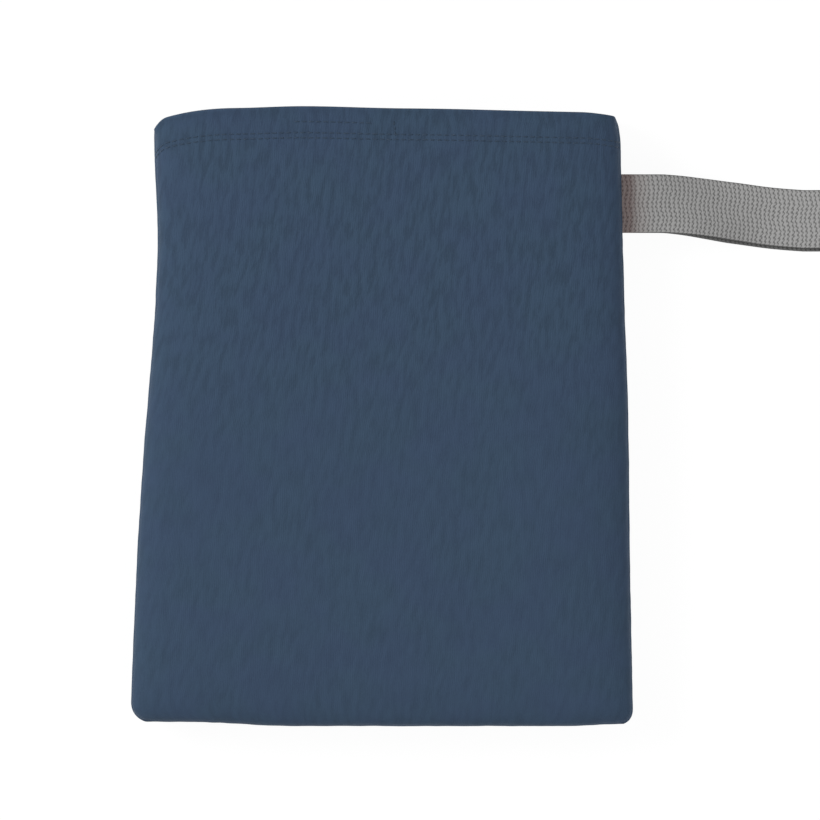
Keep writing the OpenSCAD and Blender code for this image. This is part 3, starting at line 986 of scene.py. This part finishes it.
def strap_route():
    """The middle of the webbing from inside the seam, out along its lower run and back along its upper."""
    inside = HINGE_X - anchor_lo.x
    out = np.concatenate([np.linspace(-inside, -0.5 * MM, 8), np.linspace(0, FOLD_X, 120)])
    low = np.stack([out, run_low(np.maximum(out, 0))], -1)
    turn = np.radians(np.linspace(-90, 90, 25)[1:-1])
    far = np.stack([FOLD_X + LOOP_R * np.cos(turn), STRAP_T / 2 + LOOP_R + LOOP_R * np.sin(turn)], -1)
    high = np.stack([out, run_high(np.maximum(out, 0))], -1)[::-1]
    return np.concatenate([low, far, high]), len(low) + len(far) // 2


def strap_section():
    """Points round the webbing's cross-section, across it and through it, with its rounded selvedges."""
    r = STRAP_T / 2
    flat = np.linspace(-1, 1, 21) * (STRAP_W / 2 - r)
    arc = np.radians(np.linspace(90, -90, 7)[1:-1])
    right = np.stack([STRAP_W / 2 - r + r * np.cos(arc), r * np.sin(arc)], -1)
    top = np.stack([flat, np.full(len(flat), r)], -1)
    return np.concatenate([top, right, -top, -right])


def strap_points(route, middle, section):
    """The webbing's skin. It drifts towards the closed end, its lower run shows past the upper one, and both
    lean where the loop comes down to the floor. middle is the fold's place on the route."""
    ahead = unit(np.gradient(route, axis=0))
    up = np.stack([-ahead[:, 1], ahead[:, 0]], -1)
    x = route[:, :1] + up[:, :1] * section[:, 1]
    z = route[:, 1:] + up[:, 1:] * section[:, 1]
    y = np.broadcast_to(section[:, 0], x.shape).copy()
    lower = np.arange(len(route))[:, None] < middle
    y += np.where(lower, -PEEK_SIZE, 0) * between(x, *PEEK_SPAN)
    y += 0.12 * MM * ripple(np.stack([x, y * 0, z * 0], -1), 90, 4)
    middle_z = (run_low(np.maximum(x, 0)) + run_high(np.maximum(x, 0))) / 2
    lean = STRAP_LEAN * between(x, *LEAN_SPAN)
    z_off = z - middle_z
    y, z = y * np.cos(lean) + z_off * np.sin(lean), middle_z - y * np.sin(lean) + z_off * np.cos(lean)
    share = np.clip((x - DRIFT_FROM) / DRIFT_RUN, 0, 1)
    y += STRAP_Y - DRIFT_SIZE * (smooth(share) + share) / 2
    return np.stack([HINGE_X + x, y, np.maximum(z, 0.02 * MM)], -1)


def make_strap():
    """The webbing loop, one ribbon that bends across its hinge."""
    route, middle = strap_route()
    section = strap_section()
    points = strap_points(route, middle, section)
    run = running(route)
    across = np.concatenate([section[:, 0], section[:1, 0]])
    u, v = np.meshgrid(across, run)
    mesh = grid_mesh("wrist_strap_webbing", points, np.stack([u, v], -1), ring=True)
    length = run[-1]
    cloth = webbing("webbing", GREY, length, HINGE_X - anchor_lo.x)
    piece = link("wrist_strap_webbing", mesh, None, cloth)
    close_ends(piece)
    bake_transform(piece)
    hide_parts("wrist_strap", "strap_anchor")


def close_ends(piece):
    """Closes the open ends of a swept tube."""
    work = bmesh.new()
    work.from_mesh(piece.data)
    bmesh.ops.holes_fill(work, edges=[e for e in work.edges if e.is_boundary])
    bmesh.ops.recalc_face_normals(work, faces=work.faces)
    work.to_mesh(piece.data)
    work.free()


# ----------------------------------------------------------
# The folded wrap and its labels
# ----------------------------------------------------------
PLIES = 3
PLY_T = 0.49 * MM
LAYER_T = PLIES * 0.5 * MM
PRESSED = 0.96            # how much of its height the stack keeps in the pouch
FOLD_ROUND = 1.5 * MM     # how far the stack's ends draw in at its top and bottom
LAYERS = round((wrap_hi.z - wrap_lo.z) / LAYER_T)
LAYER_STEPS = 16
PLY_STEPS = 19
SLIP = 2.2 * MM           # the most that a fold stands in from its neighbours
WRAP_T = LAYERS * LAYER_T * PRESSED
WRAP_W = wrap_hi.x - wrap_lo.x - 1.6 * MM


def fold_end(z, high):
    """Where a fold of the wrap lies, at a height above the middle of the stack."""
    reach = wrap_hi.y if high else -wrap_lo.y
    return (reach - FOLD_ROUND * (2 * z / WRAP_T) ** 2) * (1 if high else -1)


def pressed(x, y):
    """The share of its height that the stack of folds keeps at a place, in the pouch that presses it."""
    sides = dome(np.minimum(np.abs(x) / (MOUTH_W / 2), 0.985), SKIN_SQUARE)
    shut = dome(np.clip(-y / HALF_L, 0, 0.985), END_SQUARE)
    return sides * shut * (1 - 0.07 * smooth((y - 90 * MM) / (34 * MM)))


def wrap_route():
    """The middle of the folded strip: places along the pouch, heights above its middle, and ways out."""
    pitch = WRAP_T / LAYERS
    heights = (np.arange(LAYERS) + 0.5) * pitch - WRAP_T / 2
    slip = rng.uniform(-1, 0, LAYERS) * SLIP
    y, z, ny, nz = [], [], [], []
    for k in range(LAYERS):
        forward = k % 2 == 0
        way = 1 if forward else -1
        start = fold_end(heights[k] - pitch / 2, not forward) if k else -0.9 * -wrap_lo.y
        stop = fold_end(heights[k] + pitch / 2, forward)
        start += way * (pitch / 2 + PLY_T - (slip[k - 1] if k else 0))
        stop -= way * (pitch / 2 + PLY_T - slip[k])
        along = (start + stop) / 2 + (stop - start) / 2 * np.sin(np.linspace(-1, 1, LAYER_STEPS) * np.pi / 2)
        y += along.tolist()
        z += [heights[k]] * LAYER_STEPS
        ny += [0] * LAYER_STEPS
        nz += [way] * LAYER_STEPS
        if k == LAYERS - 1:
            break
        for angle in np.radians(np.arange(-60, 61, 30)):
            y.append(stop + way * pitch / 2 * math.cos(angle))
            z.append(heights[k] + pitch / 2 + pitch / 2 * math.sin(angle))
            ny.append(-way * math.cos(angle))
            nz.append(-math.sin(angle))
    return np.array(y), np.array(z), np.stack([ny, nz], -1)


def ply_section():
    """Across the strip, back and forth through its plies: shares of its half-width, and offsets in plies."""
    across, offset = [], []
    for ply in range(PLIES):
        way = 1 if ply % 2 == 0 else -1
        across += (way * np.sin(np.linspace(-1, 1, PLY_STEPS) * np.pi / 2)).tolist()
        offset += [ply - 1.0] * PLY_STEPS
        if ply < PLIES - 1:
            for angle in np.radians((-45, 0, 45)):
                across.append(way * (1 + 0.0027 * math.cos(angle)))
                offset.append(ply - 0.5 + 0.5 * math.sin(angle))
    return np.array(across), np.array(offset)


def make_wrap():
    """The wrap, 4.9 m of cloth in three plies and twenty layers, as one unbroken sheet."""
    y, z, out = wrap_route()
    across, offset = ply_section()
    sway = 0.5 * MM * ripple(np.stack([y * 0, y, z * 8], -1), 30, 2)
    x = WRAP_W / 2 * across + sway[:, None]
    side = y[:, None] + out[:, :1] * offset * PLY_T
    up = z[:, None] + out[:, 1:] * offset * PLY_T
    points = np.stack([x, side, SEAM_Z + up * pressed(x, side)], -1)
    points += ripple(points * [1, 1, 0.4], 55, 8)[..., None] * [0.2 * MM, 0.5 * MM, 0]
    mesh = grid_mesh("wrap_folded_cloth", points, cloth_uv(points))
    piece = link("wrap_folded_cloth", mesh, "wrap", wrap_fabric)
    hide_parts("wrap_cloth")
    hems = [points[:, 0], points[:, -1]]
    radii = [np.full(len(y), 0.24 * MM)] * 2
    hem_piece = tubes("wrap_hem_threads", hems, radii, "wrap", overlocking, sides=4)


def make_label(name, node, colour, fold_axis):
    """A blank woven label, folded in two, with its cut ends caught in the cloth."""
    lo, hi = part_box(node)
    size = hi - lo
    reach, width = (size.x, size.y) if fold_axis == "x" else (size.y, size.x)
    r = size.z / 2 - 0.08 * MM
    out = np.linspace(0, reach - r, 8)
    arc = np.radians(np.linspace(-90, 90, 9)[1:-1])
    bottom = np.stack([out, np.full(8, -r)], -1)
    tip = np.stack([reach - r + r * np.cos(arc), r * np.sin(arc)], -1)
    loop = np.concatenate([bottom, tip, bottom[::-1] * [1, -1]])
    spots = np.linspace(-width / 2, width / 2, 13)
    curl = 0.25 * MM * np.cos(spots / width * np.pi * 2)
    along, wide = np.meshgrid(loop[:, 0], spots, indexing="ij")
    height = loop[:, 1:] + curl * smooth(along / reach)
    if fold_axis == "x":
        points = np.stack([lo.x + along, (lo.y + hi.y) / 2 + wide, (lo.z + hi.z) / 2 + height], -1)
    else:
        points = np.stack([(lo.x + hi.x) / 2 + wide, hi.y - along, (lo.z + hi.z) / 2 + height], -1)
    piece = link(name, grid_mesh(name, points, cloth_uv(points)), "wrap", satin(name, colour))
    thicken(piece, 0.14 * MM)
    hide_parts(node)


# ----------------------------------------------------------
# Everything
# ----------------------------------------------------------
make_camera()
make_stage()
front = make_panel("front_panel_jersey", 1, "front_panel")
back = make_panel("back_panel_jersey", -1, "back_panel")
sewn_on = [make_hem(front, back), make_hem_stitches(front, back)]
make_allowances()
make_overlocks()
make_strap()
make_wrap()
make_label("center_label_satin", "center_label", LABEL_GREY, "x")
make_label("care_label_satin", "care_label", LABEL_WHITE, "y")
# The stitches that hold the strap in its seam keep their CAD shape
frame["nodes"]["anchor_stitching"].data.materials[0] = sewing
